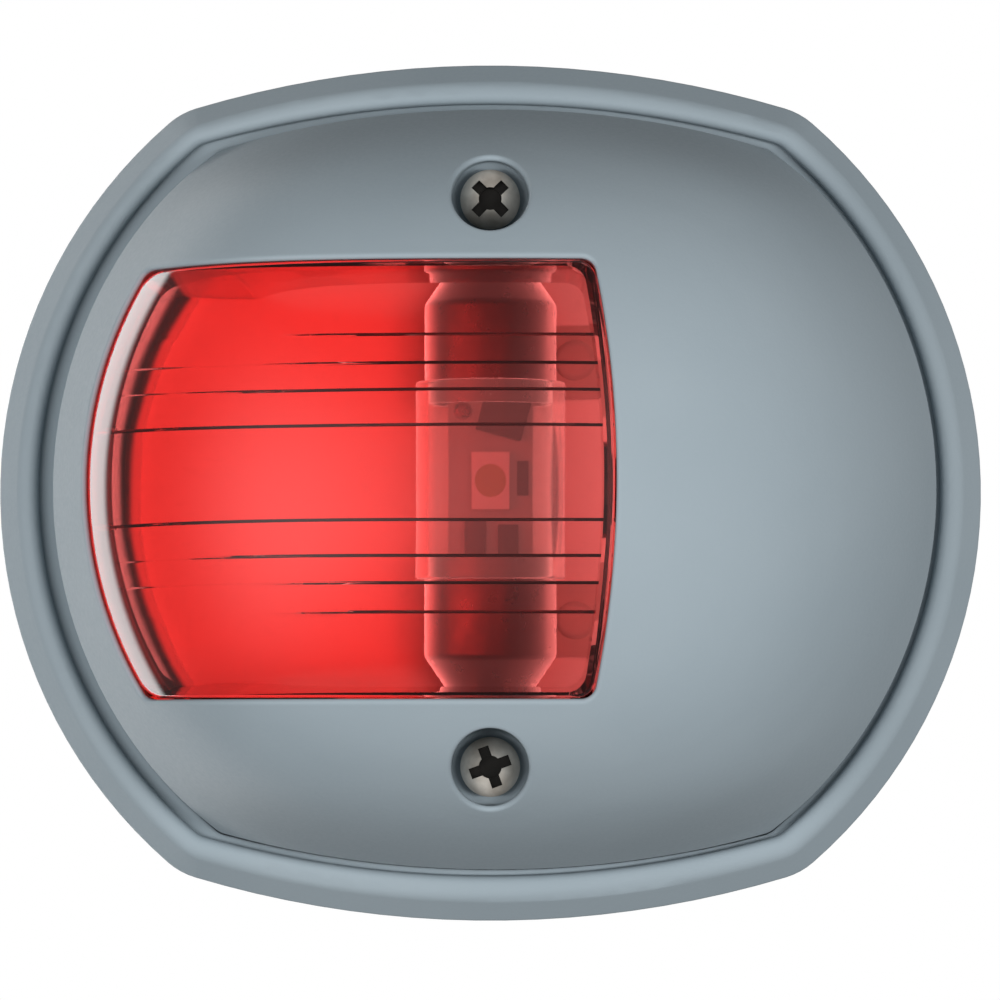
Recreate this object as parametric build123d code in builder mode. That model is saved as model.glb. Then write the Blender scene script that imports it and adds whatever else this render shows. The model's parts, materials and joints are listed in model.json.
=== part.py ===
"""Side-mounted marine navigation light: grey barrel-shaped base and cover, red lens, festoon LED bulb.

Frame: the mounting wall is the plane Y = 0, the light stands out from it towards -Y, +X is to the
right and +Z is up. A "level" is a distance out from the wall, so a plane at level h is Y = -h.
"""

from build123d import *
import math
import os

os.makedirs("parts", exist_ok=True)

# ---- Driving dimensions (mm) ----
# Front outlines: side arcs about the middle, closed by flatter arcs above and below
BASE_SIDE, BASE_HALF_HEIGHT, BASE_ARC, BASE_CORNER = 40.0, 34.9, 84.0, 6.0
COVER_SIDE, COVER_HALF_HEIGHT, COVER_ARC, COVER_CORNER = 35.5, 30.6, 86.0, 1.8
COVER_SHIFT = 0.34  # the cover sits a little to the right
WELL_SIDE, WELL_HALF_HEIGHT, WELL_CORNER = 36.63, 31.35, 2.2
WELL_SHIFT = (-0.08, 0.15)

# Levels out from the wall
GASKET_FRONT, GASKET_INSET = 1.5, 1.2
FLOOR = 3.5
SEAL_FRONT = 4.5
RIM_FRONT = 6.6
RIM_SLOPE = (2.0, 3.4)  # bevel of the rim's outer edge, across and down
RIM_ROUND, RIM_INNER_ROUND = 1.6, 0.6
LEDGE_FRONT, LEDGE_GAP = 5.2, 0.15  # floor of the groove outside the cover
INNER_WALL_FRONT, INNER_WALL_THICKNESS = 7.0, 1.2
POST_FRONT = 22.0
APEX = 42.0

# Dome of the cover: how far the surface falls from the apex to the outline
DOME_SOFT, DOME_STEEP = 15.0, 15.0
CONTOUR_POINTS = 56
DOME_REACHES = [1.08, 1.04, 1.0, 0.95, 0.88, 0.79, 0.68, 0.55, 0.4, 0.22, 0.05]
WALL = 2.0
LIP_ROUND = 0.25  # on the front edges of the window and of the screw recesses

# Cover screws
SCREW_UP = 22.3  # height of each screw above or below the middle
SEAT_LEVEL = 24.0  # floor of the screw recess
RECESS_RADIUS, TUBE_RADIUS, POST_RADIUS = 3.05, 3.95, 3.2
POST_BORE_DEPTH = 10.0
RIB_FOOT, RIB_HEAD, RIB_FRONT, RIB_THICKNESS = 6.4, 2.6, 14.0, 1.2
HEAD_RADIUS, HEAD_HEIGHT, HEAD_SIDE = 2.35, 1.8, 0.7
CROSS_LENGTH, CROSS_WIDTH, CROSS_DEPTH = 3.3, 0.85, 1.2
CROSS_CENTRE_RADIUS, CROSS_CENTRE_DEPTH = 0.9, 1.5
CROSS_TURNS = {1: 45, -1: 20}  # how each screw happens to stand
THREAD_RADIUS, THREAD_ROOT, THREAD_PITCH = 1.45, 1.1, 1.12
THREAD_LENGTH = 7.84  # length of thread in the post, seven pitches
THREAD_CLEARANCE = 0.05
SCREW_SEAL_RADIUS, SCREW_SEAL_THICKNESS = 2.2, 0.6

# Wall screws
WALL_HOLE_X, WALL_HOLE_Z = 14.4, 20.7
WALL_HOLES = [(x, z) for x in (-WALL_HOLE_X, WALL_HOLE_X) for z in (-WALL_HOLE_Z, WALL_HOLE_Z)]
WALL_HOLE_RADIUS, WALL_BOSS_RADIUS, WALL_BOSS_FRONT = 1.75, 3.1, 4.7

# Lens window in the cover
WINDOW_SIDE, WINDOW_HALF_HEIGHT = 32.0, 17.0
WINDOW_RIGHT, WINDOW_RIGHT_ARC = 9.7, 86.0
WINDOW_CORNER = 1.2
LENS_GAP = 0.1
LENS_SET_BACK = 0.25
LENS_WALL = 1.1
FLANGE_WIDTH, FLANGE_THICKNESS, FLANGE_GAP = 1.0, 1.4, 0.25
LENS_BACK_LEVEL = 8.0
LENS_DEPTH = 9.0
# Stepped lens: half height of each zone and its thickness behind the dome surface
LENS_ZONES = [(30.0, 2.5), (10.6, 2.7), (8.4, 2.9), (6.3, 3.1), (4.2, 3.4)]

# Bulb: axis parallel to Z
BULB_LEVEL, BULB_MIDDLE = 11.5, 0.65
TUBE_HALF, GLASS_RADIUS, GLASS_BORE = 7.95, 6.1, 5.1
CAP_RADIUS, CAP_SHOULDER, CAP_END, CAP_NIPPLE = 5.35, 14.45, 19.15, 19.55
CAP_END_RADIUS, NIPPLE_RADIUS, CAP_WALL = 2.2, 1.5, 0.4
STEM_LENGTH, TUBE_ROUND, SHOULDER_ROUND = 1.8, 0.25, 1.0
BOARD_FRONT, BOARD_THICKNESS = 12.4, 1.0
BOARD_WIDTH, BOARD_HEIGHT = 6.8, 15.2
LED_WIDTH, LED_HEIGHT, LED_THICKNESS, LED_WINDOW = 3.0, 4.3, 1.2, 1.25
# Parts on the board: width, height, thickness, place across and up from the bulb's middle, turn
RECTIFIER = (3.7, 3.3, 1.5, 1.0, 5.0, -14)
DRIVERS = [(1.7, 2.9, 1.1, -1.2, -4.6, 0), (1.6, 2.5, 1.1, 1.4, -4.8, 0)]
RESISTOR = (0.9, 2.6, 0.5, 2.6, 0.2, 0)

# Contacts and their terminals
STRIP, STRIP_HALF_WIDTH, CONTACT_FRONT = 0.4, 3.5, 16.2
REFLECTOR_FRONT, REFLECTOR_INSET, LIP_HEIGHT = 4.3, 4.9, 1.0
POST_CUTOUT = (14.0, 18.9)  # width in the reflector, and how near to the middle it starts
POST_TRIM, POST_TRIM_LEVEL = 24.4, 19.4  # outer flats near the front of the posts
CONTACT_FOOT_END, WING_LENGTH = 7.6, 6.0
NOTCH_GAP, NOTCH_THROAT, NOTCH_FLARE = 0.15, 2.6, 0.75
TAB_UP, TAB_HALF, TAB_THICKNESS = 10.8, 3.15, 0.8
TAB_START, TAB_END, TAB_BEVEL = 4.6, 17.5, 1.2
TAB_HOLE_BACK, TAB_HOLE_RADIUS = 3.4, 0.85
RIVET_X, RIVET_RADIUS, RIVET_HEAD_RADIUS = 7.0, 0.9, 1.7
RIVET_DEPTH, RIVET_HEAD, RIVET_ROUND = 1.2, 0.8, 0.55
POST_FLAT = 20.25

# Cable entry
ENTRY_X, ENTRY_RADIUS, CABLE_BORE = 15.5, 4.0, 2.0
FLANGE_BACK, GROMMET_NECK = 0.9, 2.6


def level(height):
    """Plane parallel to the wall, looking out; its axes are X and Z."""
    return Plane.XZ.offset(height)


def barrel(side, half_height, arc, corner):
    """Front outline with two round sides and flatter arcs above and below."""
    with BuildSketch() as outline:
        Circle(side)
        for up in (1, -1):
            with Locations((0, up * (half_height - arc))):
                Circle(arc, mode=Mode.INTERSECT)
        fillet(outline.vertices(), corner)
    return outline.sketch


def base_outline(inset):
    return barrel(BASE_SIDE - inset, BASE_HALF_HEIGHT - inset, BASE_ARC - inset, BASE_CORNER)


def cover_outline(inset):
    outline = barrel(COVER_SIDE - inset, COVER_HALF_HEIGHT - inset, COVER_ARC - inset, COVER_CORNER)
    return Pos(COVER_SHIFT, 0) * outline


def well_outline():
    """Inner edge of the rim, round the cover."""
    return Pos(*WELL_SHIFT) * barrel(WELL_SIDE, WELL_HALF_HEIGHT, COVER_ARC, WELL_CORNER)


def window_outline(inset):
    """Outline of the lens window, drawn in by inset."""
    with BuildSketch() as outline:
        Circle(WINDOW_SIDE - inset)
        Rectangle(90, 2 * (WINDOW_HALF_HEIGHT - inset), mode=Mode.INTERSECT)
        with Locations((WINDOW_RIGHT - WINDOW_RIGHT_ARC, 0)):
            Circle(WINDOW_RIGHT_ARC - inset, mode=Mode.INTERSECT)
        fillet(outline.vertices(), WINDOW_CORNER)
    return outline.sketch


def dome_reach(x, z, inset):
    """0 at the cover's middle and 1 on its outline, with contours from round to the outline's shape."""
    across = math.hypot(x, z) / (COVER_SIDE - inset)
    up = abs(z) / (COVER_HALF_HEIGHT - inset - x * x / (2 * COVER_ARC))
    power = 4 + 12 * min((across**4 + up**4) ** 0.25, 1.0) ** 4
    return (across**power + up**power) ** (1 / power)


def contour(reach, inset):
    """Points round one contour of the dome, found along rays from the middle."""
    points = []
    for step in range(CONTOUR_POINTS):
        turn = 2 * math.pi * (step + 0.5) / CONTOUR_POINTS
        near, far = 0.0, 1.3 * COVER_SIDE
        for _ in range(40):
            middle = (near + far) / 2
            if dome_reach(middle * math.cos(turn), middle * math.sin(turn), inset) < reach:
                near = middle
            else:
                far = middle
        points.append((COVER_SHIFT + near * math.cos(turn), near * math.sin(turn)))
    return points


def dome_fall(reach):
    """How far the dome has fallen from its apex; past the outline it goes on at the same slope."""
    inner = min(reach, 1.0)
    past = (2 * DOME_SOFT + 6 * DOME_STEEP) * (reach - inner)
    return DOME_SOFT * inner**2 + DOME_STEEP * inner**6 + past


def behind_dome(inset):
    """Everything behind the dome surface drawn in by inset, lofted through its contours."""
    with BuildPart() as dome:
        for reach in DOME_REACHES:
            with BuildSketch(level(APEX - inset - dome_fall(reach))):
                with BuildLine():
                    Spline(*contour(reach, inset), periodic=True)
                make_face()
        loft()
    return dome.part


def is_lip(edge):
    """True for an edge where the window or a screw recess cuts the outer surface of the dome."""
    middle = edge @ 0.5
    fall = dome_fall(dome_reach(middle.X - COVER_SHIFT, middle.Z, 0))
    in_recess = math.hypot(middle.X, abs(middle.Z) - SCREW_UP) < RECESS_RADIUS + 0.1
    in_width = -WINDOW_SIDE - 0.1 < middle.X < WINDOW_RIGHT + 0.1
    in_window = in_width and abs(middle.Z) < WINDOW_HALF_HEIGHT + 0.1
    return (in_recess or in_window) and abs(APEX - fall + middle.Y) < 0.3


def finish(part, name):
    """Label a finished piece and write it."""
    part.label = name
    export_step(part, f"parts/{name}.step")
    print(name, round(part.volume, 1), "valid" if part.is_valid else "INVALID")


# ---- Base housing: plate, bull-nosed rim, inner wall, screw posts and wall-screw bosses ----
with BuildPart() as base_housing:
    with BuildSketch(level(GASKET_FRONT)):
        add(base_outline(0))
    extrude(amount=RIM_FRONT - GASKET_FRONT)
    front = base_housing.faces().sort_by(Axis.Y)[0]
    chamfer(front.edges(), RIM_SLOPE[0], RIM_SLOPE[1], reference=front)
    fillet(base_housing.faces().sort_by(Axis.Y)[0].edges(), RIM_ROUND)
    with BuildSketch(level(FLOOR)):
        add(well_outline())
    extrude(amount=RIM_FRONT, mode=Mode.SUBTRACT)
    fillet(base_housing.faces().sort_by(Axis.Y)[0].inner_wires()[0].edges(), RIM_INNER_ROUND)
    with BuildSketch(level(FLOOR)):
        add(well_outline())
        add(cover_outline(-LEDGE_GAP), mode=Mode.SUBTRACT)
    extrude(amount=LEDGE_FRONT - FLOOR)
    with BuildSketch(level(FLOOR)):
        add(cover_outline(WALL + 1.2))
        add(cover_outline(WALL + 1.2 + INNER_WALL_THICKNESS), mode=Mode.SUBTRACT)
    extrude(amount=INNER_WALL_FRONT - FLOOR)
    for end in (1, -1):
        with BuildSketch(level(FLOOR)):
            with Locations((0, end * SCREW_UP)):
                Circle(POST_RADIUS)
        extrude(amount=POST_FRONT - FLOOR)
        with BuildSketch(Plane.XY.offset(end * SCREW_UP - RIB_THICKNESS / 2)):
            with BuildLine():
                Polyline(
                    (-RIB_FOOT, -FLOOR),
                    (RIB_FOOT, -FLOOR),
                    (RIB_HEAD, -RIB_FRONT),
                    (-RIB_HEAD, -RIB_FRONT),
                    close=True,
                )
            make_face()
        extrude(amount=RIB_THICKNESS)
    with BuildSketch(level(FLOOR)):
        with Locations(*WALL_HOLES):
            Circle(WALL_BOSS_RADIUS)
    extrude(amount=WALL_BOSS_FRONT - FLOOR)
    with BuildSketch(level(0)):
        with Locations(*WALL_HOLES):
            Circle(WALL_HOLE_RADIUS)
        with Locations((ENTRY_X, 0)):
            Circle(ENTRY_RADIUS)
    extrude(amount=10, mode=Mode.SUBTRACT)
    with BuildSketch(level(POST_FRONT)):
        with Locations((0, SCREW_UP), (0, -SCREW_UP)):
            Circle(THREAD_RADIUS + THREAD_CLEARANCE)
    extrude(amount=-POST_BORE_DEPTH, mode=Mode.SUBTRACT)
    # flats on the posts leave room for the contacts and for the bulb as it comes out
    with BuildSketch(level(FLOOR)):
        Rectangle(12, 2 * POST_FLAT)
        Rectangle(12, 2 * POST_FLAT - 20, mode=Mode.SUBTRACT)
    extrude(amount=POST_FRONT - FLOOR, mode=Mode.SUBTRACT)
    # and flats on their outer sides clear the cover's inner face
    with BuildSketch(level(POST_TRIM_LEVEL)):
        Rectangle(12, 2 * (POST_TRIM + 3))
        Rectangle(12, 2 * POST_TRIM, mode=Mode.SUBTRACT)
    extrude(amount=POST_FRONT - POST_TRIM_LEVEL, mode=Mode.SUBTRACT)
    with BuildSketch(level(FLOOR)):
        with Locations((RIVET_X, TAB_UP), (RIVET_X, -TAB_UP)):
            Circle(RIVET_RADIUS)
    extrude(amount=-RIVET_DEPTH, mode=Mode.SUBTRACT)
finish(base_housing.part, "base_housing")

# ---- Foam gasket between the base and the wall ----
with BuildPart() as back_gasket:
    with BuildSketch(level(0)):
        add(base_outline(GASKET_INSET))
        with Locations(*WALL_HOLES):
            Circle(WALL_HOLE_RADIUS + 0.35, mode=Mode.SUBTRACT)
        with Locations((ENTRY_X, 0)):
            Circle(ENTRY_RADIUS + 1.4, mode=Mode.SUBTRACT)
    extrude(amount=GASKET_FRONT)
finish(back_gasket.part, "back_gasket")

# ---- Rubber grommet in the cable entry: a spool, turned about the entry's axis ----
with BuildPart() as cable_grommet:
    with BuildSketch(Plane.XY):
        with BuildLine():
            Polyline(
                (ENTRY_X + CABLE_BORE, -0.3),
                (ENTRY_X + ENTRY_RADIUS + FLANGE_BACK, -0.3),
                (ENTRY_X + ENTRY_RADIUS + FLANGE_BACK, -GASKET_FRONT),
                (ENTRY_X + ENTRY_RADIUS, -GASKET_FRONT),
                (ENTRY_X + ENTRY_RADIUS, -FLOOR),
                (ENTRY_X + ENTRY_RADIUS + 1.0, -FLOOR),
                (ENTRY_X + ENTRY_RADIUS + 0.6, -FLOOR - 1.2),
                (ENTRY_X + CABLE_BORE + 0.5, -FLOOR - GROMMET_NECK),
                (ENTRY_X + CABLE_BORE, -FLOOR - GROMMET_NECK),
                close=True,
            )
        make_face()
    revolve(axis=Axis((ENTRY_X, 0, 0), (0, 1, 0)))
finish(cable_grommet.part, "cable_grommet")

# ---- White reflector plate behind the bulb, with an upturned lip ----
with BuildPart() as reflector_plate:
    with BuildSketch(level(FLOOR)):
        add(cover_outline(REFLECTOR_INSET))
    extrude(amount=REFLECTOR_FRONT - FLOOR)
    with BuildSketch(level(REFLECTOR_FRONT)):
        add(cover_outline(REFLECTOR_INSET))
        add(cover_outline(REFLECTOR_INSET + 0.9), mode=Mode.SUBTRACT)
    extrude(amount=LIP_HEIGHT)
    with BuildSketch(level(FLOOR)):
        with Locations(*WALL_HOLES):
            Circle(WALL_BOSS_RADIUS + 0.2)
        with Locations((ENTRY_X, 0)):
            Circle(ENTRY_RADIUS + 1.3)
        with Locations((0, POST_CUTOUT[1] + 6), (0, -POST_CUTOUT[1] - 6)):
            Rectangle(POST_CUTOUT[0], 12)
        with Locations((RIVET_X, TAB_UP), (RIVET_X, -TAB_UP)):
            Circle(RIVET_RADIUS)
    extrude(amount=4, mode=Mode.SUBTRACT)
finish(reflector_plate.part, "reflector_plate")


def contact(face, end):
    """Bent spring strip: a foot on the reflector and a leg whose outer side is at face from the middle."""
    with BuildPart() as strip:
        with BuildSketch(Plane.YZ.offset(-STRIP_HALF_WIDTH)):
            with BuildLine():
                Polyline(
                    (-REFLECTOR_FRONT, end * CONTACT_FOOT_END),
                    (-REFLECTOR_FRONT, end * face),
                    (-CONTACT_FRONT, end * face),
                    (-CONTACT_FRONT, end * (face - STRIP)),
                    (-REFLECTOR_FRONT - STRIP, end * (face - STRIP)),
                    (-REFLECTOR_FRONT - STRIP, end * CONTACT_FOOT_END),
                    close=True,
                )
            make_face()
        extrude(amount=2 * STRIP_HALF_WIDTH)
        # wing of the foot under the terminal
        with BuildSketch(level(REFLECTOR_FRONT)):
            with Locations((STRIP_HALF_WIDTH + WING_LENGTH / 2 - 0.1, end * TAB_UP)):
                Rectangle(WING_LENGTH, 2 * TAB_HALF)
        extrude(amount=STRIP)
        # notch that holds the bulb's nipple, open to the front
        with BuildSketch(Plane.XY.offset(end * face - 1)):
            notch = NIPPLE_RADIUS + NOTCH_GAP
            with Locations((0, -BULB_LEVEL)):
                Circle(notch)
            with BuildLine():
                Polyline(
                    (-notch, -BULB_LEVEL),
                    (notch, -BULB_LEVEL),
                    (notch, -BULB_LEVEL - NOTCH_THROAT),
                    (notch + NOTCH_FLARE, -CONTACT_FRONT - 0.1),
                    (-notch - NOTCH_FLARE, -CONTACT_FRONT - 0.1),
                    (-notch, -BULB_LEVEL - NOTCH_THROAT),
                    close=True,
                )
            make_face()
        extrude(amount=2, mode=Mode.SUBTRACT)
        with BuildSketch(level(REFLECTOR_FRONT - 1)):
            with Locations((RIVET_X, end * TAB_UP)):
                Circle(RIVET_RADIUS)
        extrude(amount=3, mode=Mode.SUBTRACT)
    return strip.part


bulb_top_face = BULB_MIDDLE + CAP_END + 0.05
bulb_bottom_face = CAP_END - BULB_MIDDLE + 0.05
finish(contact(bulb_top_face + STRIP, 1), "top_contact")
finish(contact(bulb_bottom_face + STRIP, -1), "bottom_contact")


def terminal(end):
    """Blade terminal that lies on the wing of a contact and points to the right."""
    with BuildPart() as blade:
        with BuildSketch(level(REFLECTOR_FRONT + STRIP)):
            with BuildLine():
                Polyline(
                    (TAB_START, end * (TAB_UP - TAB_HALF)),
                    (TAB_END - TAB_BEVEL, end * (TAB_UP - TAB_HALF)),
                    (TAB_END, end * (TAB_UP - TAB_HALF + TAB_BEVEL)),
                    (TAB_END, end * (TAB_UP + TAB_HALF - TAB_BEVEL)),
                    (TAB_END - TAB_BEVEL, end * (TAB_UP + TAB_HALF)),
                    (TAB_START, end * (TAB_UP + TAB_HALF)),
                    close=True,
                )
            make_face()
            with Locations((RIVET_X, end * TAB_UP)):
                Circle(RIVET_RADIUS, mode=Mode.SUBTRACT)
            with Locations((TAB_END - TAB_HOLE_BACK, end * TAB_UP)):
                Circle(TAB_HOLE_RADIUS, mode=Mode.SUBTRACT)
        extrude(amount=TAB_THICKNESS)
    return blade.part


def rivet(end):
    """Round-headed rivet through the terminal, the contact and the reflector into the base."""
    under_head = REFLECTOR_FRONT + STRIP + TAB_THICKNESS
    with BuildPart() as pin:
        with BuildSketch(level(FLOOR - RIVET_DEPTH)):
            with Locations((RIVET_X, end * TAB_UP)):
                Circle(RIVET_RADIUS)
        extrude(amount=under_head - FLOOR + RIVET_DEPTH)
        with BuildSketch(level(under_head)):
            with Locations((RIVET_X, end * TAB_UP)):
                Circle(RIVET_HEAD_RADIUS)
        extrude(amount=RIVET_HEAD)
        fillet(pin.edges().sort_by(Axis.Y)[0], RIVET_ROUND)
    return pin.part


for end, name in ((1, "top"), (-1, "bottom")):
    finish(terminal(end), f"{name}_terminal")
    finish(rivet(end), f"{name}_rivet")

# ---- Cover: domed shell with the lens window and two screw recesses ----
outside = behind_dome(0)
inside = behind_dome(WALL)
with BuildPart() as cover_core:
    with BuildSketch(level(SEAL_FRONT - 1)):
        add(cover_outline(WALL))
    extrude(amount=50)
    add(inside, mode=Mode.INTERSECT)
with BuildPart() as cover_shell:
    with BuildSketch(level(SEAL_FRONT)):
        add(cover_outline(0))
    extrude(amount=50)
    add(outside, mode=Mode.INTERSECT)
    add(cover_core.part, mode=Mode.SUBTRACT)
    with BuildSketch(level(POST_FRONT + 0.05)):
        with Locations((0, SCREW_UP), (0, -SCREW_UP)):
            Circle(TUBE_RADIUS)
    extrude(amount=20)
    add(outside, mode=Mode.INTERSECT)
    with BuildSketch(level(SEAT_LEVEL)):
        with Locations((0, SCREW_UP), (0, -SCREW_UP)):
            Circle(RECESS_RADIUS)
    extrude(amount=20, mode=Mode.SUBTRACT)
    with BuildSketch(level(POST_FRONT - 1)):
        with Locations((0, SCREW_UP), (0, -SCREW_UP)):
            Circle(THREAD_RADIUS + 0.25)
    extrude(amount=SEAT_LEVEL - POST_FRONT + 2, mode=Mode.SUBTRACT)
    with BuildSketch(level(10)):
        add(window_outline(0))
    extrude(amount=40, mode=Mode.SUBTRACT)
    fillet([edge for edge in cover_shell.edges() if is_lip(edge)], LIP_ROUND)
finish(cover_shell.part, "cover_shell")

# ---- Lens: window plug with side walls, a flange behind the cover and a stepped inner face ----
behind_cover = behind_dome(WALL + FLANGE_GAP)
behind_flange = behind_dome(WALL + FLANGE_GAP + FLANGE_THICKNESS)
lens_front, lens_back = behind_dome(LENS_SET_BACK), behind_dome(LENS_DEPTH)
steps = []
for half_height, thickness in LENS_ZONES:
    under_step = behind_dome(thickness)
    with BuildPart() as step:
        with BuildSketch(level(5)):
            add(window_outline(LENS_WALL))
        extrude(amount=50)
        add(under_step, mode=Mode.INTERSECT)
        if steps:
            with BuildSketch(level(5)):
                Rectangle(90, 2 * half_height)
            extrude(amount=50, mode=Mode.INTERSECT)
    steps.append((half_height, step.part))
with BuildPart() as lens_hollow:
    add(steps[0][1])
    for half_height, step_part in steps[1:]:
        with BuildSketch(level(5)):
            Rectangle(90, 2 * half_height)
        extrude(amount=50, mode=Mode.SUBTRACT)
        add(step_part)
with BuildPart() as lens_flange:
    with BuildSketch(level(LENS_BACK_LEVEL)):
        add(window_outline(-FLANGE_WIDTH))
    extrude(amount=50)
    add(behind_cover, mode=Mode.INTERSECT)
    add(behind_flange, mode=Mode.SUBTRACT)
with BuildPart() as lens:
    with BuildSketch(level(LENS_BACK_LEVEL)):
        add(window_outline(LENS_GAP))
    extrude(amount=50)
    add(lens_front, mode=Mode.INTERSECT)
    add(lens_back, mode=Mode.SUBTRACT)
    add(lens_flange.part)
    add(lens_hollow.part, mode=Mode.SUBTRACT)
finish(lens.part, "lens")

# ---- Rubber seal under the edge of the cover ----
with BuildPart() as cover_seal:
    with BuildSketch(level(FLOOR)):
        add(cover_outline(0.1))
        add(cover_outline(WALL + 0.1), mode=Mode.SUBTRACT)
    extrude(amount=SEAL_FRONT - FLOOR)
finish(cover_seal.part, "cover_seal")


def cover_screw(end):
    """Pan-head screw with a cross recess; the thread is cut as rings one pitch apart."""
    seat = SEAT_LEVEL + SCREW_SEAL_THICKNESS
    tip = POST_FRONT - THREAD_LENGTH
    axis = Axis((0, 0, end * SCREW_UP), (0, 1, 0))
    with BuildPart() as screw:
        with BuildSketch(Plane.XY.offset(end * SCREW_UP)):
            with BuildLine():
                points = [(0, -tip), (THREAD_ROOT * 0.7, -tip)]
                start = tip + 0.5
                turns = int((POST_FRONT + 1 - start) / THREAD_PITCH)
                for turn in range(turns):
                    base = start + turn * THREAD_PITCH
                    points.append((THREAD_ROOT, -base))
                    points.append((THREAD_RADIUS, -base - THREAD_PITCH * 0.35))
                    points.append((THREAD_RADIUS, -base - THREAD_PITCH * 0.45))
                    points.append((THREAD_ROOT, -base - THREAD_PITCH * 0.8))
                points.append((THREAD_ROOT, -seat + 0.3))
                points.append((HEAD_RADIUS - 0.9, -seat))
                points.append((HEAD_RADIUS, -seat))
                points.append((HEAD_RADIUS, -seat - HEAD_SIDE))
                Polyline(*points)
                crown = (HEAD_RADIUS * 0.62, -seat - HEAD_HEIGHT + 0.18)
                ThreePointArc(points[-1], crown, (0, -seat - HEAD_HEIGHT))
                Line((0, -seat - HEAD_HEIGHT), (0, -tip))
            make_face()
        revolve(axis=axis)
        top = seat + HEAD_HEIGHT
        for angle in (0, 90):
            with BuildSketch(level(top - CROSS_DEPTH)):
                with Locations(Location((0, end * SCREW_UP), CROSS_TURNS[end] + angle)):
                    Rectangle(CROSS_LENGTH, CROSS_WIDTH)
            extrude(amount=2 * CROSS_DEPTH, mode=Mode.SUBTRACT)
        with BuildSketch(level(top - CROSS_CENTRE_DEPTH)):
            with Locations((0, end * SCREW_UP)):
                Circle(CROSS_CENTRE_RADIUS)
        extrude(amount=2 * CROSS_CENTRE_DEPTH, mode=Mode.SUBTRACT)
    return screw.part


def screw_seal(end):
    """Rubber ring under the head of a cover screw."""
    with BuildPart() as ring:
        with BuildSketch(level(SEAT_LEVEL)):
            with Locations((0, end * SCREW_UP)):
                Circle(SCREW_SEAL_RADIUS)
                Circle(THREAD_RADIUS + 0.15, mode=Mode.SUBTRACT)
        extrude(amount=SCREW_SEAL_THICKNESS)
    return ring.part


for end, name in ((1, "top"), (-1, "bottom")):
    finish(cover_screw(end), f"{name}_screw")
    finish(screw_seal(end), f"{name}_screw_seal")

# ---- Festoon bulb: clear tube, two metal caps and the LED board inside ----
bulb_axis = Axis((0, -BULB_LEVEL, 0), (0, 0, 1))
with BuildPart() as bulb_tube:
    with BuildSketch(Plane.XY.offset(BULB_MIDDLE - TUBE_HALF)):
        with Locations((0, -BULB_LEVEL)):
            Circle(GLASS_RADIUS)
            Circle(GLASS_BORE, mode=Mode.SUBTRACT)
    extrude(amount=2 * TUBE_HALF)
    fillet(bulb_tube.edges().group_by(Axis.Z)[0], TUBE_ROUND)
    fillet(bulb_tube.edges().group_by(Axis.Z)[-1], TUBE_ROUND)
finish(bulb_tube.part, "bulb_tube")


def bulb_cap(end):
    """Spun metal cap: a stem in the tube, a cup, a cone and a small nipple."""
    stem = GLASS_BORE - 0.05
    profile = [
        (stem - CAP_WALL, TUBE_HALF - STEM_LENGTH),
        (stem, TUBE_HALF - STEM_LENGTH),
        (stem, TUBE_HALF + 0.05),
        (CAP_RADIUS, TUBE_HALF + 0.05),
        (CAP_RADIUS, CAP_SHOULDER),
        (CAP_END_RADIUS, CAP_END),
        (NIPPLE_RADIUS, CAP_END),
        (NIPPLE_RADIUS, CAP_NIPPLE),
        (0, CAP_NIPPLE),
        (0, CAP_END - CAP_WALL),
        (CAP_END_RADIUS - 0.3, CAP_END - CAP_WALL),
        (stem - CAP_WALL, CAP_SHOULDER - 0.1),
    ]
    with BuildPart() as cap:
        with BuildSketch(Plane.XZ.offset(BULB_LEVEL)):
            with BuildLine():
                Polyline(*[(r, BULB_MIDDLE + end * u) for r, u in profile], close=True)
            make_face()
        revolve(axis=bulb_axis)
        rings = cap.edges().filter_by(GeomType.CIRCLE)
        shoulder = BULB_MIDDLE + end * CAP_SHOULDER
        soft = [edge for edge in rings if abs(edge.center().Z - shoulder) < 0.02]
        fillet(soft, SHOULDER_ROUND)
    return cap.part


finish(bulb_cap(1), "bulb_top_cap")
finish(bulb_cap(-1), "bulb_bottom_cap")

with BuildPart() as led_board:
    with BuildSketch(level(BOARD_FRONT - BOARD_THICKNESS)):
        with Locations((0, BULB_MIDDLE)):
            RectangleRounded(BOARD_WIDTH, BOARD_HEIGHT, 0.4)
    extrude(amount=BOARD_THICKNESS)
finish(led_board.part, "led_board")

with BuildPart() as led_package:
    with BuildSketch(level(BOARD_FRONT)):
        with Locations((0, BULB_MIDDLE)):
            Rectangle(LED_WIDTH, LED_HEIGHT)
    extrude(amount=LED_THICKNESS)
    with BuildSketch(level(BOARD_FRONT + LED_THICKNESS)):
        with Locations((0, BULB_MIDDLE)):
            Circle(LED_WINDOW)
    extrude(amount=-0.3, mode=Mode.SUBTRACT)
finish(led_package.part, "led_package")

with BuildPart() as led_phosphor:
    with BuildSketch(level(BOARD_FRONT + LED_THICKNESS - 0.3)):
        with Locations((0, BULB_MIDDLE)):
            Circle(LED_WINDOW)
    extrude(amount=0.22)
finish(led_phosphor.part, "led_phosphor")


def board_part(width, height, depth, x, z, turn):
    """Moulded component on the front of the board."""
    with BuildPart() as piece:
        with BuildSketch(level(BOARD_FRONT)):
            with Locations(Location((x, BULB_MIDDLE + z), turn)):
                RectangleRounded(width, height, 0.12)
        extrude(amount=depth)
    return piece.part


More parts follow.
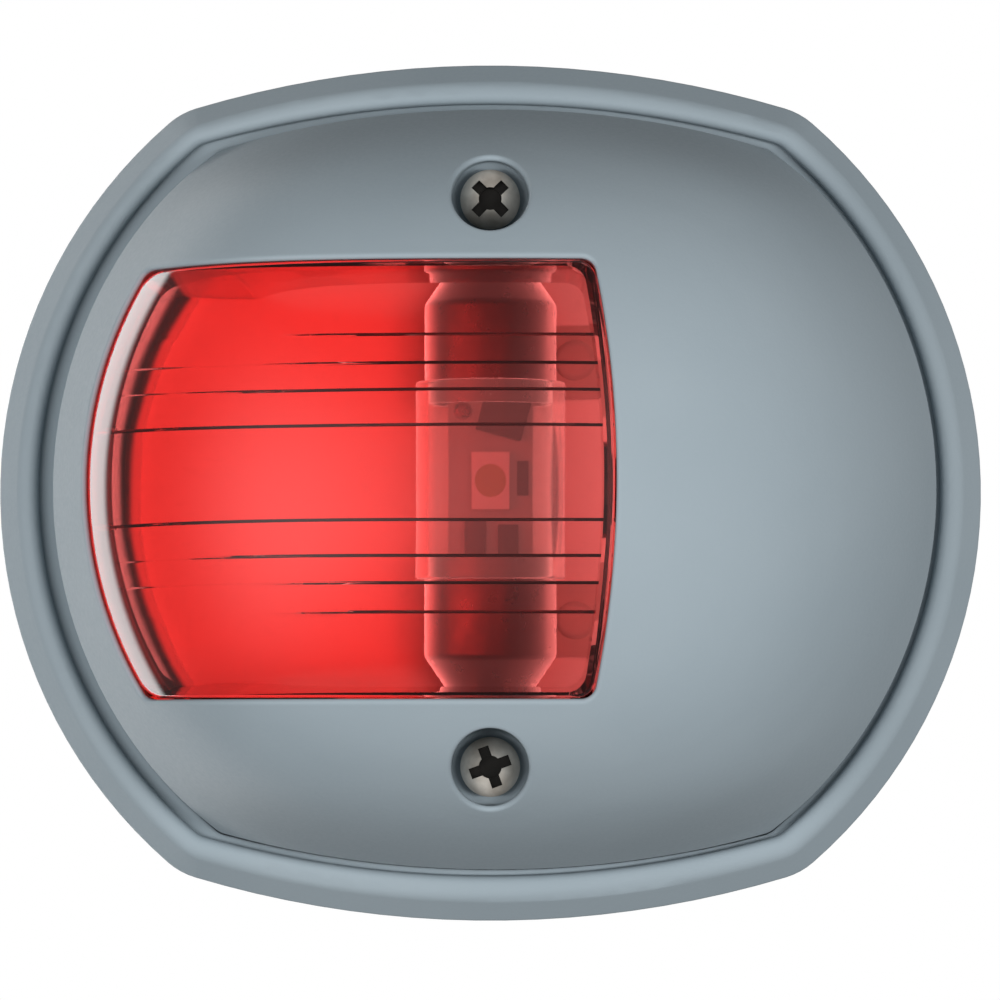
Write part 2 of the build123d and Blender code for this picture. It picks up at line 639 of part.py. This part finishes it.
finish(board_part(*RECTIFIER), "bridge_rectifier")
finish(Compound(children=[board_part(*chip) for chip in DRIVERS]), "driver_chips")
finish(board_part(*RESISTOR), "resistor")
with BuildPart() as solder_joints:
    with BuildSketch(level(BOARD_FRONT)):
        with Locations((-2.2, BULB_MIDDLE + 5.6), (-2.4, BULB_MIDDLE - 6.6), (2.6, BULB_MIDDLE - 6.7)):
            Circle(0.75)
    extrude(amount=0.6)
    fillet(solder_joints.edges().group_by(Axis.Y)[0], 0.45)
finish(solder_joints.part, "solder_joints")
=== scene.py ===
"""Looks for the side-mounted navigation light: materials, the moulded lens, studio light and camera."""
import json
import math

import bmesh
import bpy
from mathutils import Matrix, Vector


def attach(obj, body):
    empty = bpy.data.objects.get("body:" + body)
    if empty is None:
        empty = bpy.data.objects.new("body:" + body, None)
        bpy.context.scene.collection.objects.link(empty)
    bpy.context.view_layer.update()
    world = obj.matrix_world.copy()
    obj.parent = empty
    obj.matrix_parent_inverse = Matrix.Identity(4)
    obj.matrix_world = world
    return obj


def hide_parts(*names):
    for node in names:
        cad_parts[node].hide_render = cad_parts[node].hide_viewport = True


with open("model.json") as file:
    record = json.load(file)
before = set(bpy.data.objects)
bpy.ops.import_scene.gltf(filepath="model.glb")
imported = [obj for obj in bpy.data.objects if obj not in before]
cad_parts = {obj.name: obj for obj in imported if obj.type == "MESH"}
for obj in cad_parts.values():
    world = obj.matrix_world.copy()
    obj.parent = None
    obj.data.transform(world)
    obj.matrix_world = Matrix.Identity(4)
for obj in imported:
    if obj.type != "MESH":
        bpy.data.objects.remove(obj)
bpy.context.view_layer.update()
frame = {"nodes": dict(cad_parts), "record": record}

nodes = frame["nodes"]
MM = 0.001

# Sizes that the lens shares with the CAD model, in millimetres
COVER_SIDE, COVER_HALF_HEIGHT, COVER_ARC, COVER_SHIFT = 35.5, 30.6, 86.0, 0.34
APEX, DOME_SOFT, DOME_STEEP = 42.0, 15.0, 15.0
WINDOW_SIDE, WINDOW_HALF_HEIGHT = 32.0, 17.0
WINDOW_RIGHT, WINDOW_RIGHT_ARC, WINDOW_CORNER = 9.7, 86.0, 1.2
LENS_THICKNESS = 2.5
# The prisms inside the lens: edges above and below PRISM_RISE, and where they fade in from the left
PRISM_EDGES, PRISM_RISE = [3.55, 6.2, 8.2, 10.35], 0.33
PRISM_START, PRISM_FADE = -31.0, 14.0
PRISM_DEPTH, CENTRE_CROWN = 0.03, 0.05
NOTCH_WIDTH, NOTCH_DEPTH = 0.12, 0.20
NOTCH_STARTS, NOTCH_FADE = [-31.5, -23.5, -19.0, -16.8], 12.0
LENS_FRONT_INSET, LENS_WALL, LENS_DEPTH = 0.3, 1.1, 9.0
LENS_BACK_LEVEL, LENS_BACK_SLOPE = 8.0, 0.1
# The lens mesh: columns, rows each side of the middle, extra rows at a corner, degrees kept sharp
GRID_COLUMNS, GRID_STEPS, CORNER_ROWS, SHARP_ANGLE = 90, 44, 7, 28
# The white plate's radius, and how far in from its edge the painted shadow line starts and is full
REFLECTOR_RADIUS = COVER_SIDE - 4.9
EDGE_SHADOW_LINE = (0.9, 0.6)
PLASTIC_IOR = 1.49


# ---- Shader helpers ----
def new_material(name):
    """A material with a Principled shader: (material, nodes, links, shader)."""
    material = bpy.data.materials.new(name)
    material.use_nodes = True
    tree = material.node_tree
    return material, tree.nodes, tree.links, tree.nodes["Principled BSDF"]


def object_noise(tree_nodes, links, scale, detail=4.0, roughness=0.5):
    """Noise in the piece's own coordinates; scale is in features per metre."""
    coordinates = tree_nodes.new("ShaderNodeTexCoord")
    noise = tree_nodes.new("ShaderNodeTexNoise")
    noise.inputs["Scale"].default_value = scale
    noise.inputs["Detail"].default_value = detail
    noise.inputs["Roughness"].default_value = roughness
    links.new(coordinates.outputs["Object"], noise.inputs["Vector"])
    return noise


def ramp(tree_nodes, links, source, low, high, start=0.35, end=0.65):
    """Maps a texture to colours between low and high."""
    node = tree_nodes.new("ShaderNodeValToRGB")
    node.color_ramp.elements[0].position = start
    node.color_ramp.elements[0].color = (*low, 1)
    node.color_ramp.elements[1].position = end
    node.color_ramp.elements[1].color = (*high, 1)
    links.new(source, node.inputs["Fac"])
    return node.outputs["Color"]


def spread(tree_nodes, links, source, low, high):
    """Maps a 0 to 1 texture to numbers between low and high."""
    node = tree_nodes.new("ShaderNodeMapRange")
    node.inputs["From Min"].default_value = 0.3
    node.inputs["From Max"].default_value = 0.7
    node.inputs["To Min"].default_value = low
    node.inputs["To Max"].default_value = high
    links.new(source, node.inputs["Value"])
    return node.outputs["Result"]


def bump(tree_nodes, links, shader, height, distance, strength=1.0):
    """Roughens the shader's surface by height, as deep as distance in metres."""
    node = tree_nodes.new("ShaderNodeBump")
    node.inputs["Strength"].default_value = strength
    node.inputs["Distance"].default_value = distance
    links.new(height, node.inputs["Height"])
    links.new(node.outputs["Normal"], shader.inputs["Normal"])


def masked_colour(tree_nodes, links, shader, mask, at_zero, at_one):
    """Mixes the shader's base colour with a plain one by a mask; None stands for the colour it has."""
    present = shader.inputs["Base Color"].links[0].from_socket
    mix = tree_nodes.new("ShaderNodeMix")
    mix.data_type = "RGBA"
    for socket, colour in ((mix.inputs[6], at_zero), (mix.inputs[7], at_one)):
        if colour is None:
            links.new(present, socket)
        else:
            socket.default_value = (*colour, 1)
    links.new(mask, mix.inputs[0])
    links.new(mix.outputs[2], shader.inputs["Base Color"])


def varied(name, low, high, rough, grain, grain_depth, patch=60.0, metallic=0.0, detail=5.0):
    """Material whose colour drifts between low and high, with varied gloss and a fine grain."""
    material, tree_nodes, links, shader = new_material(name)
    shader.inputs["Metallic"].default_value = metallic
    patches = object_noise(tree_nodes, links, patch)
    fine = object_noise(tree_nodes, links, grain, detail)
    links.new(ramp(tree_nodes, links, patches.outputs["Fac"], low, high), shader.inputs["Base Color"])
    links.new(spread(tree_nodes, links, fine.outputs["Fac"], *rough), shader.inputs["Roughness"])
    bump(tree_nodes, links, shader, fine.outputs["Fac"], grain_depth)
    return material


def grey_plastic():
    """Satin moulded grey plastic with a very fine spark-eroded texture."""
    material, tree_nodes, links, shader = new_material("grey_housing")
    patches = object_noise(tree_nodes, links, 45.0)
    fine = object_noise(tree_nodes, links, 2600.0, 3.0, 0.6)
    colour = ramp(tree_nodes, links, patches.outputs["Fac"], (0.265, 0.318, 0.352), (0.285, 0.338, 0.372))
    links.new(colour, shader.inputs["Base Color"])
    links.new(spread(tree_nodes, links, fine.outputs["Fac"], 0.42, 0.56), shader.inputs["Roughness"])
    shader.inputs["Specular IOR Level"].default_value = 0.4
    bump(tree_nodes, links, shader, fine.outputs["Fac"], 0.00002, 0.6)
    soft_edge = tree_nodes.new("ShaderNodeBevel")
    soft_edge.samples = 6
    soft_edge.inputs["Radius"].default_value = 0.0004
    links.new(soft_edge.outputs["Normal"], shader.inputs["Normal"].links[0].from_node.inputs["Normal"])
    return material


def steel_with_painted_recess_shade():
    """Dull stainless steel with painted shade: ambient occlusion darkens the cross recess and other
    hollows almost to black.
    """
    dark, bright = (0.42, 0.38, 0.33), (0.66, 0.62, 0.56)
    material = varied("screw_steel", dark, bright, (0.28, 0.5), 1400.0, 0.00002, 500.0, 0.5)
    tree_nodes, links = material.node_tree.nodes, material.node_tree.links
    shader = tree_nodes["Principled BSDF"]
    # painted shade: where ambient occlusion finds a hollow, the base colour goes almost black
    hollow = tree_nodes.new("ShaderNodeAmbientOcclusion")
    hollow.inputs["Distance"].default_value = 0.002
    hollow.only_local = True
    depth = tree_nodes.new("ShaderNodeMapRange")
    depth.inputs["From Min"].default_value = 0.7
    depth.inputs["From Max"].default_value = 0.92
    links.new(hollow.outputs["AO"], depth.inputs["Value"])
    masked_colour(tree_nodes, links, shader, depth.outputs["Result"], (0.02, 0.018, 0.016), None)
    return material


def reflector_with_painted_edge_shadow():
    """White plate with a painted shadow: a dark line along its edge stands for the shade in the gap
    beyond it.
    """
    dull, white = (0.88, 0.88, 0.86), (0.93, 0.93, 0.92)
    material = varied("white_reflector", dull, white, (0.25, 0.4), 900.0, 0.00001)
    tree_nodes, links = material.node_tree.nodes, material.node_tree.links
    shader = tree_nodes["Principled BSDF"]
    coordinates = tree_nodes.new("ShaderNodeTexCoord")
    from_middle = tree_nodes.new("ShaderNodeVectorMath")
    from_middle.operation = "MULTIPLY"
    from_middle.inputs[1].default_value = (1.0, 0.0, 1.0)
    links.new(coordinates.outputs["Object"], from_middle.inputs[0])
    radius = tree_nodes.new("ShaderNodeVectorMath")
    radius.operation = "LENGTH"
    links.new(from_middle.outputs["Vector"], radius.inputs[0])
    # painted shadow: the plate goes dark in a band just inside its edge
    edge = tree_nodes.new("ShaderNodeMapRange")
    edge.inputs["From Min"].default_value = (REFLECTOR_RADIUS - EDGE_SHADOW_LINE[0]) * MM
    edge.inputs["From Max"].default_value = (REFLECTOR_RADIUS - EDGE_SHADOW_LINE[1]) * MM
    links.new(radius.outputs["Value"], edge.inputs["Value"])
    masked_colour(tree_nodes, links, shader, edge.outputs["Result"], None, (0.03, 0.03, 0.03))
    return material


def hazy_nickel():
    """Dull nickel caps with a pale haze towards their edges."""
    dull, bright = (0.42, 0.41, 0.40), (0.52, 0.51, 0.49)
    material = varied("cap_nickel", dull, bright, (0.24, 0.42), 800.0, 0.00001, 160.0, 1.0)
    shader = material.node_tree.nodes["Principled BSDF"]
    shader.inputs["Sheen Weight"].default_value = 0.45
    shader.inputs["Sheen Roughness"].default_value = 0.5
    return material


def clear_plastic(name, colour, shadow_colour, rough, clarity, haze=0.0):
    """Refracts what is seen and lets light in to what is inside; haze pales its edges."""
    material, tree_nodes, links, shader = new_material(name)
    shader.inputs["Base Color"].default_value = (*colour, 1)
    shader.inputs["Transmission Weight"].default_value = clarity
    shader.inputs["IOR"].default_value = PLASTIC_IOR
    shader.inputs["Sheen Weight"].default_value = haze
    shader.inputs["Sheen Roughness"].default_value = 0.5
    wear = object_noise(tree_nodes, links, 180.0, 6.0, 0.65)
    links.new(spread(tree_nodes, links, wear.outputs["Fac"], *rough), shader.inputs["Roughness"])
    ripple = object_noise(tree_nodes, links, 70.0, 2.0)
    bump(tree_nodes, links, shader, ripple.outputs["Fac"], 0.00004, 0.5)
    light_path = tree_nodes.new("ShaderNodeLightPath")
    clear = tree_nodes.new("ShaderNodeBsdfTransparent")
    clear.inputs["Color"].default_value = (*shadow_colour, 1)
    mix = tree_nodes.new("ShaderNodeMixShader")
    links.new(light_path.outputs["Is Shadow Ray"], mix.inputs["Fac"])
    links.new(shader.outputs["BSDF"], mix.inputs[1])
    links.new(clear.outputs["BSDF"], mix.inputs[2])
    links.new(mix.outputs["Shader"], tree_nodes["Material Output"].inputs["Surface"])
    return material


# Dark and bright colour, roughness range, grain per metre, its depth, patches per metre, metallic
FINISHES = {
    "foam": ((0.02, 0.02, 0.02), (0.04, 0.04, 0.04), (0.8, 0.95), 2400.0, 0.00008),
    "rubber": ((0.018, 0.018, 0.018), (0.03, 0.03, 0.03), (0.55, 0.75), 1500.0, 0.00002),
    "contact_brass": ((0.80, 0.78, 0.72), (0.88, 0.86, 0.80), (0.35, 0.5), 1100.0, 0.00001, 120.0, 0.4),
    "board": ((0.34, 0.35, 0.33), (0.42, 0.43, 0.41), (0.3, 0.45), 1500.0, 0.00001),
    "led_white": ((0.80, 0.80, 0.78), (0.88, 0.88, 0.86), (0.3, 0.4), 1500.0, 0.00001),
    "phosphor": ((0.42, 0.34, 0.10), (0.50, 0.42, 0.14), (0.15, 0.3), 2500.0, 0.00001),
    "black_epoxy": ((0.012, 0.012, 0.013), (0.03, 0.03, 0.03), (0.4, 0.6), 3000.0, 0.00001),
    "solder": ((0.55, 0.55, 0.55), (0.68, 0.68, 0.68), (0.2, 0.4), 1500.0, 0.00003, 400.0, 1.0),
}
RED, RED_LIGHT = (0.80, 0.135, 0.125), (0.98, 0.36, 0.34)
GLASSY, GLASSY_LIGHT = (0.84, 0.95, 0.94), (0.88, 0.95, 0.94)
MATERIALS = {name: varied(name, *finish) for name, finish in FINISHES.items()}
MATERIALS["grey_housing"] = grey_plastic()
MATERIALS["red_lens"] = clear_plastic("red_lens", RED, RED_LIGHT, (0.01, 0.05), 0.99)
MATERIALS["white_reflector"] = reflector_with_painted_edge_shadow()
MATERIALS["screw_steel"] = steel_with_painted_recess_shade()
MATERIALS["cap_nickel"] = hazy_nickel()
MATERIALS["clear_tube"] = clear_plastic("clear_tube", GLASSY, GLASSY_LIGHT, (0.04, 0.12), 0.99, 0.2)

for subpart in frame["record"]["subparts"]:
    node = nodes[subpart["node"]]
    node.data.materials.clear()
    node.data.materials.append(MATERIALS[subpart["material_slot"]])
# the rivets are tinned like the strips that they hold
for name in ("top_rivet", "bottom_rivet"):
    nodes[name].data.materials[0] = MATERIALS["contact_brass"]


# ---- The moulded lens ----
def dome_level(x, z, inset):
    """Distance out from the wall of the cover's dome, drawn in by inset."""
    x -= COVER_SHIFT
    across = math.hypot(x, z) / (COVER_SIDE - inset)
    up = abs(z) / (COVER_HALF_HEIGHT - inset - x * x / (2 * COVER_ARC))
    power = 4 + 12 * min((across**4 + up**4) ** 0.25, 1.0) ** 4
    reach = (across**power + up**power) ** (1 / power)
    inner = min(reach, 1.0)
    fall = DOME_SOFT * inner**2 + DOME_STEEP * inner**6
    fall += (2 * DOME_SOFT + 6 * DOME_STEEP) * (reach - inner)
    return APEX - inset - fall


def window_row(z, inset):
    """Left and right ends of the window at height z, drawn in by inset."""
    half_height = WINDOW_HALF_HEIGHT - inset
    left = -math.sqrt((WINDOW_SIDE - inset) ** 2 - z * z)
    arc = WINDOW_RIGHT_ARC - inset
    right = WINDOW_RIGHT - WINDOW_RIGHT_ARC + math.sqrt(arc * arc - z * z)
    past = max(0.0, abs(z) - (half_height - WINDOW_CORNER))
    draw = WINDOW_CORNER - math.sqrt(max(0.0, WINDOW_CORNER**2 - past * past))
    return left + draw, right - draw


def prism_thickness(x, z):
    """Thickness of the lens: a crowned middle, shallow prisms beside it and a notch at each edge."""
    fade = min(1.0, max(0.0, (x - PRISM_START) / PRISM_FADE))
    height = abs(z - PRISM_RISE)
    thickness = LENS_THICKNESS
    edges = [0.0] + PRISM_EDGES
    if height < PRISM_EDGES[0]:
        thickness += CENTRE_CROWN * (1 - (height / PRISM_EDGES[0]) ** 2)
    for low, high in zip(edges[1:], edges[2:]):
        if low <= height < high:
            thickness += PRISM_DEPTH * fade * (high - height) / (high - low)
    for index, edge in enumerate(PRISM_EDGES):
        away = abs(height - edge)
        if away < NOTCH_WIDTH:
            reach = min(1.0, max(0.0, (x - NOTCH_STARTS[index]) / NOTCH_FADE))
            thickness -= NOTCH_DEPTH * reach * (1 - away / NOTCH_WIDTH)
    return thickness


def row_heights(half_height, prisms):
    """Heights of the grid's rows as shares of half_height, closer together at the corners."""
    rows = {-1.0, 1.0}
    for step in range(1, 2 * GRID_STEPS):
        rows.add(round(step / GRID_STEPS - 1, 5))
    for step in range(1, CORNER_ROWS):
        corner = 1 - (WINDOW_CORNER / half_height) * (1 - math.sin(step / CORNER_ROWS * math.pi / 2))
        rows.update((round(corner, 5), round(-corner, 5)))
    for edge in prisms:
        for offset in (-NOTCH_WIDTH, -NOTCH_WIDTH / 2, 0.0, NOTCH_WIDTH / 2, NOTCH_WIDTH):
            for side in (-1, 1):
                rows.add(round((PRISM_RISE + side * (edge + offset)) / half_height, 5))
    return sorted(rows)


def make_lens():
    """The lens as one closed mesh: front face, side walls with a flange, and notched inner face."""
    shares = row_heights(WINDOW_HALF_HEIGHT - LENS_WALL, PRISM_EDGES)
    columns = GRID_COLUMNS
    mesh = bmesh.new()

    def point(share, column, inset, level_of):
        z = share * (WINDOW_HALF_HEIGHT - inset)
        left, right = window_row(z, inset)
        x = left + (right - left) * 0.5 * (1 - math.cos(math.pi * column / columns))
        return mesh.verts.new((x * MM, -level_of(x, z) * MM, z * MM))

    def grid(inset, level_of):
        return [[point(s, c, inset, level_of) for c in range(columns + 1)] for s in shares]

    def border(rows):
        last = len(rows) - 1
        loop = list(rows[0])
        loop += [rows[r][columns] for r in range(1, last)]
        loop += list(reversed(rows[last]))
        loop += [rows[r][0] for r in range(last - 1, 0, -1)]
        return loop

    def ring(inset, dome_inset):
        last = len(shares) - 1
        places = [(0, c) for c in range(columns + 1)]
        places += [(r, columns) for r in range(1, last)]
        places += [(last, c) for c in range(columns, -1, -1)]
        places += [(r, 0) for r in range(last - 1, 0, -1)]

        def lowest(x, z):
            back_level = LENS_BACK_LEVEL + LENS_BACK_SLOPE * (LENS_DEPTH - dome_inset)
            return max(dome_level(x, z, dome_inset), back_level)

        return [point(shares[r], c, inset, lowest) for r, c in places]

    def fill(rows, outward):
        for low, high in zip(rows, rows[1:]):
            for c in range(columns):
                corners = [low[c], low[c + 1], high[c + 1], high[c]]
                mesh.faces.new(corners if outward else corners[::-1])

    def band(near, far):
        count = len(near)
        for i in range(count):
            j = (i + 1) % count
            mesh.faces.new((near[i], far[i], far[j], near[j]))

    front = grid(LENS_FRONT_INSET, lambda x, z: dome_level(x, z, LENS_FRONT_INSET))
    back = grid(LENS_WALL, lambda x, z: dome_level(x, z, prism_thickness(x, z)))
    fill(front, True)
    fill(back, False)
    loops = [border(front)]
    # the side wall, as inset from the window and depth behind the dome: rim, flange, wall and back edge
    profile = [(0.16, 0.35), (0.10, 0.48), (0.10, 2.3), (-0.9, 2.3), (-1.0, 2.45), (-1.0, 3.5)]
    profile += [(-0.9, 3.65), (0.1, 3.65), (0.1, 8.85)]
    profile += [(0.25, LENS_DEPTH), (0.95, LENS_DEPTH), (LENS_WALL, 8.85)]
    loops += [ring(inset, dome_inset) for inset, dome_inset in profile]
    loops.append(border(back))
    for near, far in zip(loops, loops[1:]):
        band(near, far)
    bmesh.ops.recalc_face_normals(mesh, faces=mesh.faces)
    data = bpy.data.meshes.new("lens_moulding")
    mesh.to_mesh(data)
    mesh.free()
    for polygon in data.polygons:
        polygon.use_smooth = True
    data.set_sharp_from_angle(angle=math.radians(SHARP_ANGLE))
    moulding = bpy.data.objects.new("lens_moulding", data)
    bpy.context.scene.collection.objects.link(moulding)
    data.materials.append(MATERIALS["red_lens"])
    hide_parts("lens")
    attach(moulding, "cover")
    return moulding


lens_moulding = make_lens()


# ---- Studio ----
# Glows of the surroundings: direction, how narrow, strength
GLOW_LEFT = ((-0.76, -0.65, -0.15), 6.0, 1.5)
GLOW_RIGHT = ((0.70, -0.70, 0.0), 4.0, 0.5)
AMBIENT = 0.14
# A tall panel behind on the left: its reach in the direction's Y and X, and how soft each end is
PANEL_DEPTHS, PANEL_SOFT = (0.65, 0.80), 0.02
PANEL_SIDES, PANEL_SIDE_SOFT = (-1.2, -0.3), 0.1
PANEL_STRENGTH = 3.5
FLOOR_HALF, FLOOR_HEIGHT, FLOOR_GLOW = 1.6, -0.35, 0.5
# Lamps: width and height in metres, and the colour of those for the bulb
SIDE_LAMP, BULB_LAMP, PLATE_LAMP = (0.55, 0.15), (0.55, 0.45), (0.3, 0.3)
COOL_WHITE = (0.85, 1.0, 1.0)


def make_floor():
    """Pale paper floor, seen by the camera alone."""
    data = bpy.data.meshes.new("floor")
    corners = [(-1, -1), (1, -1), (1, 1), (-1, 1)]
    places = [(x * FLOOR_HALF, y * FLOOR_HALF, FLOOR_HEIGHT) for x, y in corners]
    data.from_pydata(places, [], [(0, 1, 2, 3)])
    floor = bpy.data.objects.new("floor", data)
    bpy.context.scene.collection.objects.link(floor)
    dull, pale = (0.80, 0.80, 0.80), (0.83, 0.83, 0.83)
    data.materials.append(varied("floor_paper", dull, pale, (0.7, 0.9), 300.0, 0.00005, 3.0))
    paper = data.materials[0].node_tree.nodes["Principled BSDF"]
    paper.inputs["Emission Color"].default_value = (1.0, 1.0, 1.0, 1)
    paper.inputs["Emission Strength"].default_value = FLOOR_GLOW
    floor.visible_glossy = False
    floor.visible_diffuse = False
    floor.visible_transmission = False


def area_light(name, place, width, height, power, colour=(1.0, 1.0, 1.0)):
    """Soft lamp aimed at the middle, kept out of reflections; metres and watts."""
    data = bpy.data.lights.new(name, "AREA")
    data.shape = "RECTANGLE"
    data.size, data.size_y, data.energy, data.color = width, height, power, colour
    lamp = bpy.data.objects.new(name, data)
    lamp.location = place
    lamp.rotation_euler = (-Vector(place)).to_track_quat("-Z", "Y").to_euler()
    lamp.visible_glossy = False
    lamp.visible_transmission = False
    bpy.context.scene.collection.objects.link(lamp)
    return lamp


def light_only(lamp, lit_names, blocking_names=()):
    """Keeps the lamp's light to the first nodes, with only them and the second ones in its way."""
    lit = bpy.data.collections.new(lamp.name + "_lit")
    blocking = bpy.data.collections.new(lamp.name + "_blocking")
    for name in lit_names:
        lit.objects.link(nodes[name])
        blocking.objects.link(nodes[name])
    for name in blocking_names:
        blocking.objects.link(lens_moulding if name == "lens" else nodes[name])
    lamp.light_linking.receiver_collection = lit
    lamp.light_linking.blocker_collection = blocking


def make_world():
    """White to the camera; to the rest, two broad glows and a tall panel behind on the left."""
    world = bpy.data.worlds.new("studio")
    bpy.context.scene.world = world
    world.use_nodes = True
    tree_nodes, links = world.node_tree.nodes, world.node_tree.links
    coordinates = tree_nodes.new("ShaderNodeTexCoord")
    axes = tree_nodes.new("ShaderNodeSeparateXYZ")
    links.new(coordinates.outputs["Generated"], axes.inputs["Vector"])

    def math_node(operation, first, second):
        node = tree_nodes.new("ShaderNodeMath")
        node.operation = operation
        for socket, value in zip(node.inputs, (first, second)):
            if isinstance(value, (int, float)):
                socket.default_value = value
            else:
                links.new(value, socket)
        return node.outputs[0]

    def glow(direction, power, strength):
        toward = tree_nodes.new("ShaderNodeVectorMath")
        toward.operation = "DOT_PRODUCT"
        toward.inputs[1].default_value = Vector(direction).normalized()
        links.new(coordinates.outputs["Generated"], toward.inputs[0])
        lobe = math_node("POWER", math_node("MAXIMUM", toward.outputs["Value"], 0.0), power)
        return math_node("MULTIPLY", lobe, strength)

    def within(value, low, high, soft):
        rise = tree_nodes.new("ShaderNodeMapRange")
        rise.interpolation_type = "SMOOTHSTEP"
        rise.inputs["From Min"].default_value = low - soft
        rise.inputs["From Max"].default_value = low + soft
        links.new(value, rise.inputs["Value"])
        drop = tree_nodes.new("ShaderNodeMapRange")
        drop.interpolation_type = "SMOOTHSTEP"
        drop.inputs["From Min"].default_value = high + soft
        drop.inputs["From Max"].default_value = high - soft
        links.new(value, drop.inputs["Value"])
        return math_node("MULTIPLY", rise.outputs["Result"], drop.outputs["Result"])

    total = math_node("ADD", glow(*GLOW_LEFT), AMBIENT)
    total = math_node("ADD", total, glow(*GLOW_RIGHT))
    panel = within(axes.outputs["Y"], *PANEL_DEPTHS, PANEL_SOFT)
    across = within(axes.outputs["X"], *PANEL_SIDES, PANEL_SIDE_SOFT)
    panel = math_node("MULTIPLY", panel, across)
    panel = math_node("MULTIPLY", panel, PANEL_STRENGTH)
    total = math_node("ADD", total, panel)
    light_path = tree_nodes.new("ShaderNodeLightPath")
    seen = tree_nodes.new("ShaderNodeMix")
    links.new(light_path.outputs["Is Camera Ray"], seen.inputs[0])
    links.new(total, seen.inputs[2])
    seen.inputs[3].default_value = 1.0
    background = tree_nodes["Background"]
    background.inputs["Color"].default_value = (1.0, 1.0, 1.0, 1)
    links.new(seen.outputs[0], background.inputs["Strength"])


make_floor()
make_world()
area_light("front_left", (-0.42, -0.74, -0.05), *SIDE_LAMP, 3.0)
area_light("front_right", (0.47, -0.72, -0.05), *SIDE_LAMP, 5.0)
# lamps that bring out the bulb, its board and the white plate behind the red lens
bulb = ["bulb_tube", "bulb_top_cap", "bulb_bottom_cap"]
board = ["led_board", "led_package", "led_phosphor", "solder_joints"]
behind_bulb = ["reflector_plate", "top_terminal", "bottom_terminal", "top_rivet", "bottom_rivet"]
bulb_fill = area_light("bulb_fill", (-0.10, -0.85, 0.05), *BULB_LAMP, 75.0, COOL_WHITE)
light_only(bulb_fill, bulb)
board_fill = area_light("board_fill", (0.10, -0.85, 0.05), *BULB_LAMP, 2.5, COOL_WHITE)
light_only(board_fill, board, ["driver_chips"])
reflector_fill = area_light("reflector_fill", (0.15, -0.85, 0.0), *PLATE_LAMP, 5.5)
light_only(reflector_fill, behind_bulb, ["lens"] + bulb)

# ---- Camera: a long lens a little below the light's middle ----
CAMERA_PLACE = Vector((0.0008, -0.600, -0.020))
CAMERA_TARGET = Vector((0.00077, -0.010, -0.00085))
FOCAL_LENGTH, SENSOR_WIDTH = 263.52, 36.0
camera_data = bpy.data.cameras.new("camera")
camera_data.sensor_width = SENSOR_WIDTH
camera_data.lens = FOCAL_LENGTH
camera_data.clip_start = 0.01
camera = bpy.data.objects.new("camera", camera_data)
camera.location = CAMERA_PLACE
camera.rotation_euler = (CAMERA_TARGET - CAMERA_PLACE).to_track_quat("-Z", "Y").to_euler()
bpy.context.scene.collection.objects.link(camera)
bpy.context.scene.camera = camera
bpy.context.scene.view_settings.view_transform = "Standard"
